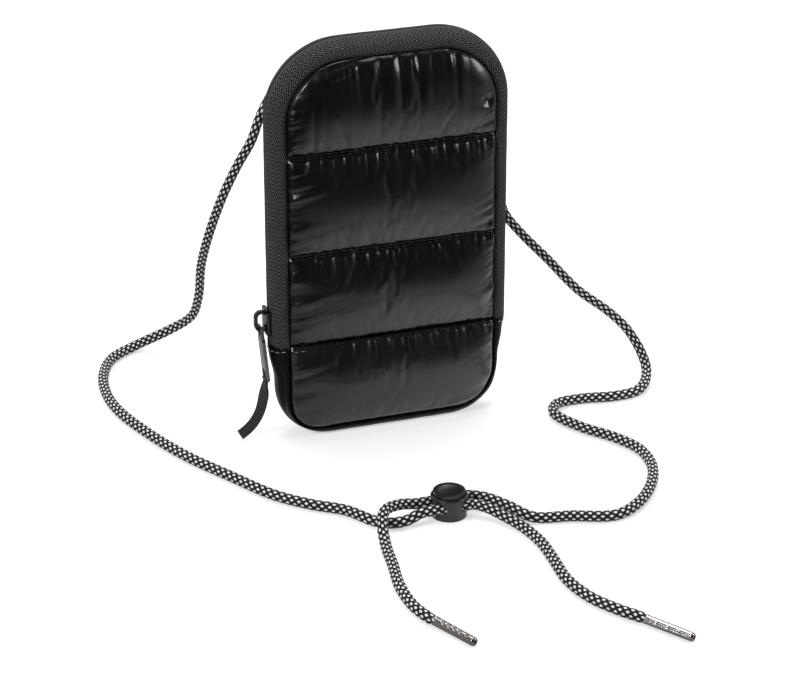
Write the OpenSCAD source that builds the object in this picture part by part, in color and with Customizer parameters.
// Quilted phone pouch on a round cord with a cord lock.
// Origin on the floor under the middle of the pouch, +X right and -Y to the front.

/* [Quilted panels] */
// Width of the front and back panels between their side seams
panel_w = 96.4; // [86:0.4:108]
// Height of the plain lower panel
lower_panel_h = 41.5; // [36:0.5:50]
// Height of the channel above the lower panel
third_channel_h = 43; // [36:0.5:50]
// Height of the channel above the fold
second_channel_h = 46.5; // [38:0.5:52]
// Height of the top channel
top_channel_h = 42.5; // [36:0.5:50]
// Radius of the panels' top corners
top_r = 27; // [20:0.5:34]
// Radius of the panels' bottom corners
bottom_r = 20; // [14:0.5:26]
// How far the front channels puff out
front_puff = 6.5; // [3:0.25:8]
// How far the back channels puff out
back_puff = 4.5; // [2:0.25:6]
// Thickness of the nylon shell
shell_t = 0.5; // [0.3:0.1:0.8]
// Depth of the padding behind the seams
pad_t = 2; // [1:0.25:3]
// Thickness of the lining
lining_t = 0.6; // [0.4:0.1:1]
// Open slot between the flap and the fixed front at the fold
fold_gap = 0.3; // [0.2:0.1:0.6]

/* [Gusset and zip] */
// Depth of the body between the front and back seams
body_d = 18.2; // [15:0.2:24]
// Height of the bottom seams above the floor
seam_rise = 4.7; // [3.5:0.1:5.2]
// How far the zip band bulges past the seams
band_bulge = 7.6; // [6:0.1:9]
// How far the bottom gusset bulges past the seams
gusset_bulge = 5.6; // [5.3:0.1:7]
// Length over which the gusset tapers below the zip
taper_h = 20; // [14:0.5:21]
// How much the gusset is drawn in above the bottom corners
waist = 1.1; // [0:0.1:1.5]
// Thickness of the bottom gusset
gusset_t = 0.9; // [0.6:0.1:1.4]
// Thickness of the zip tape
tape_t = 0.8; // [0.5:0.1:1.2]
// Gap between the two halves of the zip
zip_gap = 1.6; // [1.5:0.1:2]
// Width of one half of the zip coil
coil_w = 2.2; // [1.6:0.1:2.6]
// Thickness of the zip coil
coil_t = 1.6; // [1:0.1:2]

/* [Slider and pull] */
// Length of the slider along the zip
slider_l = 12.5; // [10:0.5:16]
// Width of the slider across the zip
slider_w = 8.2; // [6.4:0.2:10]
// Thickness of the slider's plates
slider_t = 1.2; // [0.8:0.1:1.6]
// Height of the parked slider above the end of the zip
slider_park = 4.8; // [2:0.2:8]
// Length of the bridge along the slider
bridge_l = 10; // [9:0.2:12]
// How far the bridge stands out of the slider
bridge_h = 4.8; // [4.4:0.1:6]
// Width of the bridge across the slider
bridge_w = 2.2; // [1.6:0.1:3]
// Thickness of the bridge's loop
bridge_t = 1.4; // [1:0.1:1.6]
// Length of the pull tab from its pin
tab_l = 26.5; // [22:0.5:28]
// Width of the pull tab
tab_w = 7.2; // [6.8:0.2:9]
// Thickness of the pull tab
tab_t = 1.5; // [1.2:0.1:1.8]
// Lean of the parked tab towards the pouch, in degrees
tab_lean = 5.5; // [0:0.5:5.5]
// Width of the pull ribbon
ribbon_w = 4.6; // [4:0.1:4.8]
// Thickness of one layer of the ribbon
ribbon_t = 0.5; // [0.35:0.05:0.6]

/* [Cord and strap loops] */
// Diameter of the round cord
cord_d = 4.9; // [4.6:0.1:5.3]
// Width of the strap loops along the cord
loop_w = 8; // [6:0.5:10]
// Thickness of the strap loops' webbing
loop_t = 1.2; // [0.8:0.1:1.6]
// Length of an aglet
aglet_l = 22.5; // [18:0.5:28]
// Diameter of an aglet at its mouth
aglet_d = 4.2; // [3.6:0.1:4.8]

/* [Cord lock] */
// Diameter of the lock's barrel
barrel_d = 15.2; // [14.8:0.1:17]
// Diameter of the collar at the barrel's top
collar_d = 16.2; // [16:0.1:18]
// Height of the barrel with its collar
barrel_h = 10.2; // [9.8:0.1:12]
// Height of the collar
collar_h = 1.8; // [1.2:0.1:1.9]
// Distance between the two cord channels
channel_pitch = 8.4; // [8.2:0.1:8.8]
// Height of the channels' centre
channel_z = 5.4; // [5.3:0.1:5.8]
// Clearance of the cord in a channel
channel_play = 0.2; // [0.1:0.05:0.3]
// Travel of the push button
press_l = 1.4; // [1:0.1:1.5]
// How far the button stands out of the collar
button_rise = 1.6; // [1.5:0.1:2]

/* [Hidden] */
$fn = 48;

// Heights above the bottom seams
fold_h = lower_panel_h + third_channel_h;
first_line_h = fold_h + second_channel_h;
panel_h = first_line_h + top_channel_h;
half_d = body_d / 2;
// Fullness of the puffed channels: higher is squarer
side_fullness = 8;
back_side_fullness = 4;
line_fullness = 3.5;
rows_per_channel = 7;
columns = 12;
corner_steps = 9;
band_steps = 6;
coil_steps = 2;
// Clearance between pieces that slide or turn past each other, and between sewn ones
run_gap = 0.3;
seam_gap = 0.1;
// Overrun of a cut past the face that it opens
over = 1;

function unit(v) = v / norm(v);
function smooth(t) = let (c = min(max(t, 0), 1)) c * c * (3 - 2 * c);

// Half width of the panels at a height above the bottom seam
function half_w(h) =
    h < bottom_r ? panel_w / 2 - bottom_r + sqrt(max(0, pow(bottom_r, 2) - pow(bottom_r - h, 2))) :
    h > panel_h - top_r ?
        panel_w / 2 - top_r + sqrt(max(0, pow(top_r, 2) - pow(h - panel_h + top_r, 2))) :
    panel_w / 2;

// Rows of a quilted piece, as height and place across the channel from -1 to 1
function channel_rows(lo, hi, first) =
    [for (j = [first : rows_per_channel]) let (s = sin(180 * j / rows_per_channel - 90))
        [lo + (hi - lo) * (1 + s) / 2, s]];
function quilt_rows(edges) =
    [for (c = [0 : len(edges) - 2]) each channel_rows(edges[c], edges[c + 1], c == 0 ? 0 : 1)];
function puff_share(u, s, side) = (1 - pow(abs(u), side)) * (1 - pow(abs(s), line_fullness));
function column_share(i) = sin(180 * i / columns - 90);

// Grid of points on a puffed sheet, inset from its outer face
function puffed_grid(rows, puff, side, inset) =
    [for (r = rows) [for (i = [0 : columns]) let (u = column_share(i))
        [u * half_w(r[0]), inset - half_d - puff * puff_share(u, r[1], side), seam_rise + r[0]]]];
function flat_grid(rows, inset) =
    [for (r = rows) [for (i = [0 : columns])
        [column_share(i) * half_w(r[0]), inset - half_d, seam_rise + r[0]]]];

// Closed solid between two grids of points, the outer one listed first
module slab(outer, inner) {
    nk = len(outer);
    ni = len(outer[0]);
    m = nk * ni;
    function at(k, i) = k * ni + i;
    points = concat([for (r = outer) each r], [for (r = inner) each r]);
    cells = [for (k = [0 : nk - 2], i = [0 : ni - 2]) [at(k, i), at(k + 1, i), at(k + 1, i + 1), at(k, i + 1)]];
    rim = concat(
        [for (i = [0 : ni - 2]) [at(0, i), at(0, i + 1)]],
        [for (k = [0 : nk - 2]) [at(k, ni - 1), at(k + 1, ni - 1)]],
        [for (i = [ni - 1 : -1 : 1]) [at(nk - 1, i), at(nk - 1, i - 1)]],
        [for (k = [nk - 1 : -1 : 1]) [at(k, 0), at(k - 1, 0)]]);
    faces = concat(
        [for (c = cells) each [[c[0], c[1], c[2]], [c[0], c[2], c[3]]]],
        [for (c = cells) each [[m + c[2], m + c[1], m + c[0]], [m + c[3], m + c[2], m + c[0]]]],
        [for (e = rim) each [[e[0], e[1], m + e[1]], [e[0], m + e[1], m + e[0]]]]);
    polyhedron(points, faces);
}

module puffed_shell(edges, puff, side) {
    rows = quilt_rows(edges);
    slab(puffed_grid(rows, puff, side, 0), puffed_grid(rows, puff, side, shell_t));
}

module puffed_padding(edges, puff, side) {
    rows = quilt_rows(edges);
    slab(puffed_grid(rows, puff, side, shell_t), flat_grid(rows, pad_t));
}

// Flat lining plate between two heights
module lining_plate(lo, hi) {
    steps = corner_steps * 4;
    side = [for (j = [0 : steps]) let (h = lo + (hi - lo) * (1 - cos(180 * j / steps)) / 2) [half_w(h), h]];
    outline = concat(side, [for (j = [steps : -1 : 0]) [-side[j][0], side[j][1]]]);
    translate([0, lining_t + pad_t - half_d, seam_rise])
        rotate([90, 0, 0]) linear_extrude(lining_t) polygon(outline);
}

// Stations along the seam outline: place x and height, and the outward direction
function corner(x, h, r, from, to) =
    [for (j = [0 : corner_steps]) let (a = from + (to - from) * j / corner_steps)
        [x + r * cos(a), h + r * sin(a), cos(a), sin(a)]];
function arch(h_start) = concat(
    [[-panel_w / 2, h_start, -1, 0]],
    corner(-panel_w / 2 + top_r, panel_h - top_r, top_r, 180, 90),
    corner(panel_w / 2 - top_r, panel_h - top_r, top_r, 90, 0),
    [[panel_w / 2, h_start, 1, 0]]);
function side_run(sign, from, to, steps) =
    [for (j = [0 : steps]) [sign * panel_w / 2, from + (to - from) * j / steps, sign, 0]];
function trough() = concat(
    side_run(1, lower_panel_h, bottom_r + over, band_steps),
    corner(panel_w / 2 - bottom_r, bottom_r, bottom_r, 0, -90),
    corner(-panel_w / 2 + bottom_r, bottom_r, bottom_r, -90, -180),
    side_run(-1, bottom_r + over, lower_panel_h, band_steps));
waist_h = 20;
waist_reach = 15;
function bulge_at(h) =
    gusset_bulge + (band_bulge - gusset_bulge) * smooth((h - lower_panel_h + taper_h) / taper_h)
    - waist * pow(max(0, 1 - pow((h - waist_h) / waist_reach, 2)), 2);

// Grid of points on the band, between two angles across it, inset from its outer face
function band_grid(stations, from, to, inset, floor_z, steps) =
    [for (s = stations) [for (i = [0 : steps])
        let (a = from + (to - from) * i / steps, off = (bulge_at(s[1]) - inset) * cos(a))
            [s[0] + s[2] * off, (half_d - inset) * sin(a), max(floor_z, seam_rise + s[1] + s[3] * off)]]];

module band(stations, from, to, inset, t, floor_z, steps) {
    slab(band_grid(stations, from, to, inset, floor_z, steps),
         band_grid(stations, from, to, inset + t, floor_z + t, steps));
}

// Angles across the band where the tape halves and the coils end
tape_edge = asin(zip_gap / 2 / half_d);
coil_inset = tape_t + seam_gap;
coil_r = half_d - coil_inset - coil_t;
coil_edge = asin(zip_gap / 2 / coil_r);
coil_far = asin((zip_gap / 2 + coil_w) / coil_r);
fixed_top_h = fold_h - fold_gap / 2;
flap_low_h = fold_h + fold_gap / 2;

module front_tape(stations) {
    band(stations, -tape_edge, -90, 0, tape_t, 0, band_steps);
}

module front_coil(stations) {
    band(stations, -coil_edge, -coil_far, coil_inset, coil_t, 0, coil_steps);
}

module front_panel_top() {
    color([0.06, 0.06, 0.07]) puffed_shell([flap_low_h, first_line_h, panel_h], front_puff, side_fullness);
}

module front_padding_top() {
    color("white") puffed_padding([flap_low_h, first_line_h, panel_h], front_puff, side_fullness);
}

module front_lining_top() {
    color("dimgray") lining_plate(flap_low_h, panel_h);
}

module front_panel_mid() {
    color([0.06, 0.06, 0.07]) puffed_shell([lower_panel_h, fixed_top_h], front_puff, side_fullness);
}

module front_padding_mid() {
    color("white") puffed_padding([lower_panel_h, fixed_top_h], front_puff, side_fullness);
}

module front_lower_panel() {
    color([0.08, 0.08, 0.09]) puffed_shell([0, lower_panel_h], front_puff, side_fullness);
}

module front_padding_lower() {
    color("white") puffed_padding([0, lower_panel_h], front_puff, side_fullness);
}

module front_lining_lower() {
    color("dimgray") lining_plate(0, fixed_top_h);
}

back_edges = [0, lower_panel_h, fold_h, first_line_h, panel_h];

module back_panel() {
    color([0.06, 0.06, 0.07]) mirror([0, 1, 0]) puffed_shell(back_edges, back_puff, back_side_fullness);
}

module back_padding() {
    color("white") mirror([0, 1, 0]) puffed_padding(back_edges, back_puff, back_side_fullness);
}

module back_lining() {
    color("dimgray") mirror([0, 1, 0]) lining_plate(0, panel_h);
}

module bottom_gusset() {
    color([0.09, 0.09, 0.1]) band(trough(), 90, -90, 0, gusset_t, 0, 2 * band_steps);
}

module zip_tape_front_upper() {
    color([0.17, 0.17, 0.17]) front_tape(arch(flap_low_h));
}

module zip_tape_front_lower() {
    color([0.17, 0.17, 0.17]) {
        front_tape(side_run(-1, lower_panel_h, fixed_top_h, 1));
        front_tape(side_run(1, fixed_top_h, lower_panel_h, 1));
    }
}

module zip_tape_back() {
    color([0.17, 0.17, 0.17]) band(arch(lower_panel_h), 90, tape_edge, 0, tape_t, 0, band_steps);
}

module zip_coil_front_upper() {
    color("black") front_coil(arch(flap_low_h));
}

module zip_coil_front_lower() {
    color("black") {
        front_coil(side_run(-1, lower_panel_h, fixed_top_h, 1));
        front_coil(side_run(1, fixed_top_h, lower_panel_h, 1));
    }
}

module zip_coil_back() {
    color("black") band(arch(lower_panel_h), coil_far, coil_edge, coil_inset, coil_t, 0, coil_steps);
}

// The slider stands on the left side: its outer plate, its post through the zip, its inner plate
slider_z = seam_rise + lower_panel_h + slider_park + slider_l / 2;
outer_face_x = -panel_w / 2 - band_bulge - run_gap;
coil_inner = (band_bulge - coil_inset - coil_t) * cos(coil_far);
inner_face_x = -panel_w / 2 - coil_inner + run_gap;
plate_r = 1.5;
post_w = 1;
post_l = 3.6;
inner_share = 0.9;
bridge_hole_r = (bridge_h - bridge_t) / 2;

module rounded_plate(l, w, t, r) {
    linear_extrude(t) hull()
        for (x = [-1, 1], y = [-1, 1]) translate([x * (w / 2 - r), y * (l / 2 - r)]) circle(r);
}

// Side view of the bridge, with x out of the slider and y along it
module bridge_outline(grow) {
    r = bridge_hole_r + grow;
    hull() for (y = [-1, 1])
        translate([bridge_hole_r, y * (bridge_l / 2 - bridge_t - bridge_hole_r)]) circle(r, $fn = 32);
}

module slider_body() {
    color([0.3, 0.3, 0.31]) translate([0, 0, slider_z]) {
        translate([outer_face_x, 0, 0]) rotate([0, -90, 0]) rotate([0, 0, 90])
            rounded_plate(slider_l, slider_w, slider_t, plate_r);
        translate([inner_face_x + slider_t, 0, 0]) rotate([0, -90, 0]) rotate([0, 0, 90])
            rounded_plate(slider_l, slider_w * inner_share, slider_t, plate_r);
        translate([outer_face_x - slider_t / 2, -post_w / 2, -slider_l / 2])
            cube([inner_face_x - outer_face_x + slider_t, post_w, post_l]);
        translate([outer_face_x - slider_t, bridge_w / 2, 0]) mirror([1, 0, 0]) rotate([90, 0, 0])
            linear_extrude(bridge_w) difference() {
                intersection() {
                    bridge_outline(bridge_t);
                    translate([-slider_t / 2, -bridge_l]) square([2 * bridge_h, 2 * bridge_l]);
                }
                bridge_outline(0);
            }
    }
}

// The tab hangs on its pin at the lower end of the bridge's hole
pin_d = 1.2;
pin_play = 0.15;
pin_out = 0.4;
pin_x = outer_face_x - slider_t - bridge_hole_r - pin_out;
pin_z = slider_z - bridge_l / 2 + bridge_t + pin_d / 2 + pin_play;
eye_w = 5.2;
eye_gap = 0.3;
eye_l = bridge_t + pin_d / 2 + pin_play + 3 * eye_gap + 1.2;
shoulder_l = 1.6;
slot_w = ribbon_w + 0.6;
slot_l = 4.6;
bar_d = 1.1;
bar_out = 0.35;
tab_r = 1.5;

module tab_outline() {
    difference() {
        union() {
            translate([-eye_w / 2, -eye_l - shoulder_l]) square([eye_w, eye_l + shoulder_l]);
            hull() for (x = [-1, 1]) {
                translate([x * (tab_w / 2 - tab_r), -eye_l - shoulder_l / 2 - tab_r]) circle(tab_r);
                translate([x * (tab_w / 2 - tab_r), tab_r - tab_l]) circle(tab_r);
            }
        }
        translate([-bridge_w / 2 - eye_gap, -eye_l]) square([bridge_w + 2 * eye_gap, eye_l + over]);
        translate([-slot_w / 2, -tab_l - over]) square([slot_w, slot_l + bar_d + over]);
    }
}

module pull_tab() {
    color([0.62, 0.62, 0.63]) translate([pin_x, 0, pin_z]) rotate([0, -tab_lean, 0]) {
        translate([-tab_t / 2, 0, 0]) rotate([90, 0, 90]) linear_extrude(tab_t) tab_outline();
        rotate([90, 0, 0]) cylinder(d = pin_d, h = eye_w, center = true);
        translate([-bar_out, 0, bar_d / 2 - tab_l]) rotate([90, 0, 0])
            cylinder(d = bar_d, h = (tab_w + slot_w) / 2, center = true);
    }
}

// The ribbon loops round the tab's lower bar and runs down to the floor
bar_x = pin_x + (tab_l - bar_d / 2) * sin(tab_lean) - bar_out * cos(tab_lean);
bar_z = pin_z - (tab_l - bar_d / 2) * cos(tab_lean) - bar_out * sin(tab_lean);
ribbon_loop_r = bar_d / 2 + 0.1;
ribbon_steps = 12;
ribbon_reach = 12.7;
ribbon_bow = 1.8;
ribbon_fold = 0.4;
ribbon_lift = 2.4;
ribbon_twist = -65;
ribbon_twist_rate = 2.2;
bow_share = 0.26;
land_share = 0.74;

function bezier(p, t) =
    pow(1 - t, 3) * p[0] + 3 * t * pow(1 - t, 2) * p[1] + 3 * t * t * (1 - t) * p[2] + pow(t, 3) * p[3];

module ribbon_tail() {
    top = bar_z - ribbon_loop_r - ribbon_t / 2;
    drop = top - ribbon_lift;
    p = [[bar_x, 0, top],
         [bar_x - ribbon_bow, 0, top - drop * bow_share],
         [bar_x - ribbon_fold, 0, top - drop * land_share],
         [bar_x - ribbon_reach, 0, ribbon_lift]];
    rings = [for (k = [0 : ribbon_steps]) let (
            t = k / ribbon_steps,
            d = unit(bezier(p, t + 0.01) - bezier(p, t - 0.01)),
            n0 = unit(cross(d, [0, 1, 0])),
            b0 = cross(n0, d),
            turn = ribbon_twist * smooth(ribbon_twist_rate * t),
            b = b0 * cos(turn) + n0 * sin(turn),
            n = cross(b, d))
        [bezier(p, t), b * ribbon_w / 2, n * ribbon_t]];
    slab([for (r = rings) [r[0] - r[1] + r[2], r[0] + r[1] + r[2]]],
         [for (r = rings) [r[0] - r[1] - r[2], r[0] + r[1] - r[2]]]);
}

module pull_ribbon() {
    color([0.1, 0.1, 0.1]) {
        translate([bar_x, 0, bar_z]) rotate([90, 0, 0]) difference() {
            cylinder(r = ribbon_loop_r + ribbon_t, h = ribbon_w, center = true);
            cylinder(r = ribbon_loop_r, h = ribbon_w + over, center = true);
        }
        ribbon_tail();
    }
}

// Tube swept along points, with its ring turned as little as possible on the way
function tangent(p, k) = unit(p[min(k + 1, len(p) - 1)] - p[max(k - 1, 0)]);
function carried(p, k, n) = let (t = tangent(p, k), m = unit(n - (n * t) * t))
    k == len(p) - 1 ? [m] : concat([m], carried(p, k + 1, m));

module tube(p, r, r_end, sides) {
    last = len(p) - 1;
    normals = carried(p, 0, [0.1, 1, 0.2]);
    rings = [for (k = [0 : last]) let (t = tangent(p, k), n = normals[k], b = cross(t, n),
            q = k == last ? r_end : r)
        [for (i = [0 : sides - 1]) p[k] + q * (n * cos(360 * i / sides) + b * sin(360 * i / sides))]];
    points = concat([for (g = rings) each g], [p[0], p[last]]);
    centre = len(points) - 2;
    faces = concat(
        [for (k = [0 : last - 1], i = [0 : sides - 1])
            let (j = (i + 1) % sides, a = k * sides, b = a + sides)
                each [[a + i, b + i, b + j], [a + i, b + j, a + j]]],
        [for (i = [0 : sides - 1]) [centre, i, (i + 1) % sides]],
        [for (i = [0 : sides - 1]) [centre + 1, last * sides + (i + 1) % sides, last * sides + i]]);
    polyhedron(points, faces);
}

cord_sides = 10;
// Route of the cord from the left strap loop through the lock to the right aglet
left_route = [
    [-44, 17.5, 158.5], [-48, 17.5, 154.5], [-52.5, 17.7, 146], [-55.5, 20.5, 135],
    [-60.5, 26, 122], [-65, 33, 107], [-67.5, 42, 91.5], [-69, 53, 74], [-68.5, 65, 58],
    [-67, 77, 37.5], [-68, 88, 23], [-76.5, 99.5, 12], [-90, 106.5, 3.6], [-104.5, 98, 2.45],
    [-113, 81.5, 2.45], [-116.5, 61.5, 2.45], [-115.5, 41.5, 2.45], [-108, 13.5, 2.45],
    [-98, -12.5, 2.45], [-85.5, -36, 2.45], [-72, -60, 2.45], [-59.5, -73.5, 2.45],
    [-47, -83.5, 2.45], [-38.5, -96.5, 2.45], [-33, -100.5, 2.45], [-26, -102, 3.2],
    [-18.5, -101.2, 5.4], [4.5, -101.2, 5.4], [9.5, -104.8, 4.6], [14.5, -112, 3.3],
    [19, -121.5, 2.45], [21.5, -136.5, 2.45], [21, -152, 2.45], [20, -170, 2.45],
    [23.5, -186.5, 2.45], [31, -200.2, 2.45], [35.6, -206.5, 2.53], [37.8, -209.8, 2.45]
];
// Route of the cord from the right strap loop through the lock to the left aglet
right_route = [
    [44, 17.5, 158.5], [48.5, 17.5, 154], [53, 17.5, 144], [58.5, 16.6, 102],
    [62, 16, 87], [69.5, 15, 76.5], [83, 13.5, 61.5], [97.5, 11, 45], [111, 8, 34],
    [120.5, 5.5, 24], [128, 3, 10], [127.5, -3, 4.5], [118, -15.5, 2.45], [105, -18, 2.45],
    [89.5, -15.5, 2.45], [76.5, -17, 2.45], [72, -26, 2.45], [78, -42, 2.45], [88.5, -57, 2.45],
    [94.5, -71.5, 2.45], [93.5, -87.5, 2.45], [85.5, -104.5, 2.45], [72.5, -119, 2.45],
    [60, -125, 2.45], [42, -119.5, 2.45], [26.5, -115.5, 2.6], [18.5, -104.5, 4.1],
    [11.5, -96.5, 5.1], [4.5, -92.8, 5.4], [-18.5, -92.8, 5.4], [-26, -93.5, 6.6],
    [-34.5, -98.8, 7.9], [-38.7, -107.5, 6.3], [-41, -118.5, 2.8], [-43.5, -135, 2.45],
    [-46.5, -152.5, 2.45], [-46.5, -169.5, 2.45], [-44, -179.8, 2.53], [-42.3, -183.4, 2.45]
];
// Route of the cord across the back, through both strap loops
back_route = [
    [-44, 17.5, 158.5], [-37, 17.5, 165.5], [-26, 17.5, 171.5], [0, 17.5, 173.5],
    [26, 17.5, 171.5], [37, 17.5, 165.5], [44, 17.5, 158.5]
];

function route_length(p) = [for (k = [0 : len(p) - 2]) norm(p[k + 1] - p[k])] * [for (k = [0 : len(p) - 2]) 1];

// The tubes' first and last steps point straight out of what holds them
module cord_tube(route, r_end) {
    tube([for (q = route) [q[0], q[1], max(q[2], cord_d / 2)]], cord_d / 2, r_end, cord_sides);
}

module cord_left() {
    color([0.25, 0.25, 0.25]) cord_tube(left_route, aglet_d / 2);
}

module cord_right() {
    color([0.25, 0.25, 0.25]) cord_tube(right_route, aglet_d / 2);
}

module cord_back() {
    color([0.25, 0.25, 0.25]) cord_tube(back_route, cord_d / 2);
}

// The aglet goes on straight from the end of its cord, and narrows to an open tip
tip_d = 3.8;
tip_r = 1.2;
tip_hole_d = 1.6;
tip_hole_l = 5;

module aglet(route) {
    last = len(route) - 1;
    d = unit(route[last] - route[last - 1]);
    translate(route[last]) rotate([0, acos(d[2]), atan2(d[1], d[0])]) difference() {
        rotate_extrude() polygon(concat(
            [[0, 0], [aglet_d / 2, 0], [tip_d / 2, aglet_l - tip_r]],
            [for (a = [15 : 15 : 90]) [tip_d / 2 - tip_r + tip_r * cos(a), aglet_l - tip_r + tip_r * sin(a)]],
            [[0, aglet_l]]));
        translate([0, 0, aglet_l - tip_hole_l]) cylinder(d = tip_hole_d, h = tip_hole_l + over);
    }
}

module aglet_left() {
    color([0.6, 0.57, 0.55]) aglet(right_route);
}

module aglet_right() {
    color([0.6, 0.57, 0.55]) aglet(left_route);
}

// The strap loop is a ring of webbing round the cord, with a doubled strip to the back seam
loop_play = 0.3;
// Place of a strap loop from the panel's side, from the back seam and from the panel's top
loop_side = 7.7;
loop_back = 8.4;
loop_drop = 16.2;
loop_centre = [loop_side - panel_w / 2, half_d + loop_back, seam_rise + panel_h - loop_drop];
loop_r = cord_d / 2 + loop_play;
strip_l = 6;
strip_tilt = -31;

module strap_loop() {
    color([0.12, 0.12, 0.12]) translate(loop_centre) rotate([0, 45, 0]) {
        difference() {
            cylinder(r = loop_r + loop_t, h = loop_w, center = true);
            cylinder(r = loop_r, h = loop_w + over, center = true);
        }
        rotate([0, 0, strip_tilt]) translate([0, -loop_r - strip_l / 2, 0])
            cube([1.4 * loop_t, strip_l, loop_w], center = true);
    }
}

module strap_loop_left() {
    strap_loop();
}

module strap_loop_right() {
    mirror([1, 0, 0]) strap_loop();
}

// The cord lock stands on the floor, with both channels along X
lock_x = -5;
lock_y = -97;
barrel_floor = 0.6;
fit_gap = 0.1;
bore_r = 6.35;
recess_r = 7.05;
button_top = barrel_h + button_rise;
cap_h = button_rise + 0.3;
recess_z = button_top - cap_h - press_l - fit_gap;
collar_round = 0.5;

module lock_channels(r, l) {
    for (side = [-1, 1]) translate([-l / 2, side * channel_pitch / 2, channel_z])
        rotate([0, 90, 0]) cylinder(r = r, h = l);
}

module lock_barrel() {
    color([0.13, 0.13, 0.14]) translate([lock_x, lock_y, 0]) difference() {
        union() {
            cylinder(d = barrel_d, h = barrel_h);
            translate([0, 0, barrel_h - collar_h]) cylinder(d = collar_d, h = collar_h - collar_round);
            translate([0, 0, barrel_h - collar_round])
                cylinder(d1 = collar_d, d2 = collar_d - 2 * collar_round, h = collar_round);
        }
        translate([0, 0, barrel_floor]) cylinder(r = bore_r, h = barrel_h);
        translate([0, 0, recess_z]) cylinder(r = recess_r, h = barrel_h);
        lock_channels(cord_d / 2 + channel_play, barrel_d + 2 * over);
    }
}

// The plunger is a spool: cap, web between the cords, and a bar under them
spool_r = bore_r - fit_gap;
cap_r = recess_r - fit_gap;
bar_low = barrel_floor + press_l + fit_gap / 2;
bar_top = channel_z - cord_d / 2 - fit_gap;
web_t = channel_pitch - cord_d - 3 * fit_gap;
spring_wire = 0.3;
spring_r = 0.9;
pocket_r = spring_r + spring_wire / 2 + fit_gap;
pocket_top = button_top - cap_h - 0.6;
ceiling_z = channel_z + cord_d / 2 + press_l + fit_gap;
dish_r = 16;
dish_depth = 0.9;

module lock_plunger() {
    color([0.11, 0.11, 0.12]) translate([lock_x, lock_y, 0]) difference() {
        union() {
            translate([0, 0, button_top - cap_h]) cylinder(r = cap_r, h = cap_h);
            translate([0, 0, ceiling_z]) cylinder(r = spool_r, h = button_top - cap_h - ceiling_z + fit_gap);
            translate([0, 0, bar_low]) cylinder(r = spool_r, h = bar_top - bar_low);
            intersection() {
                translate([0, 0, bar_low]) cylinder(r = spool_r, h = ceiling_z - bar_low + fit_gap);
                translate([-spool_r, -web_t / 2, 0]) cube([2 * spool_r, web_t, button_top]);
            }
        }
        translate([0, 0, button_top + dish_r - dish_depth]) sphere(dish_r, $fn = 96);
        translate([0, 0, bar_low - over]) cylinder(r = pocket_r, h = pocket_top - bar_low + over);
    }
}

spring_turns = 7;
spring_ring_count = 8;
spring_sides = 6;

module lock_spring() {
    low = barrel_floor + spring_wire / 2;
    high = pocket_top - spring_wire / 2 - fit_gap / 2;
    steps = spring_turns * spring_ring_count;
    coil = [for (k = [0 : steps]) let (a = 360 * k / spring_ring_count)
        [lock_x + spring_r * cos(a), lock_y + spring_r * sin(a), low + (high - low) * k / steps]];
    color("silver") tube(coil, spring_wire / 2, spring_wire / 2, spring_sides);
}

echo(pin = [pin_x, pin_z], bar = [bar_x, bar_z], fold_z = seam_rise + fold_h);
echo(cord_left = route_length(left_route), cord_right = route_length(right_route),
     cord_back = route_length(back_route));

front_panel_top();
front_padding_top();
front_lining_top();
front_panel_mid();
front_padding_mid();
front_lower_panel();
front_padding_lower();
front_lining_lower();
back_panel();
back_padding();
back_lining();
bottom_gusset();
zip_tape_front_upper();
zip_tape_front_lower();
zip_tape_back();
zip_coil_front_upper();
zip_coil_front_lower();
zip_coil_back();
slider_body();
pull_tab();
pull_ribbon();
strap_loop_left();
strap_loop_right();
cord_left();
cord_right();
cord_back();
aglet_left();
aglet_right();
lock_barrel();
lock_plunger();
lock_spring();
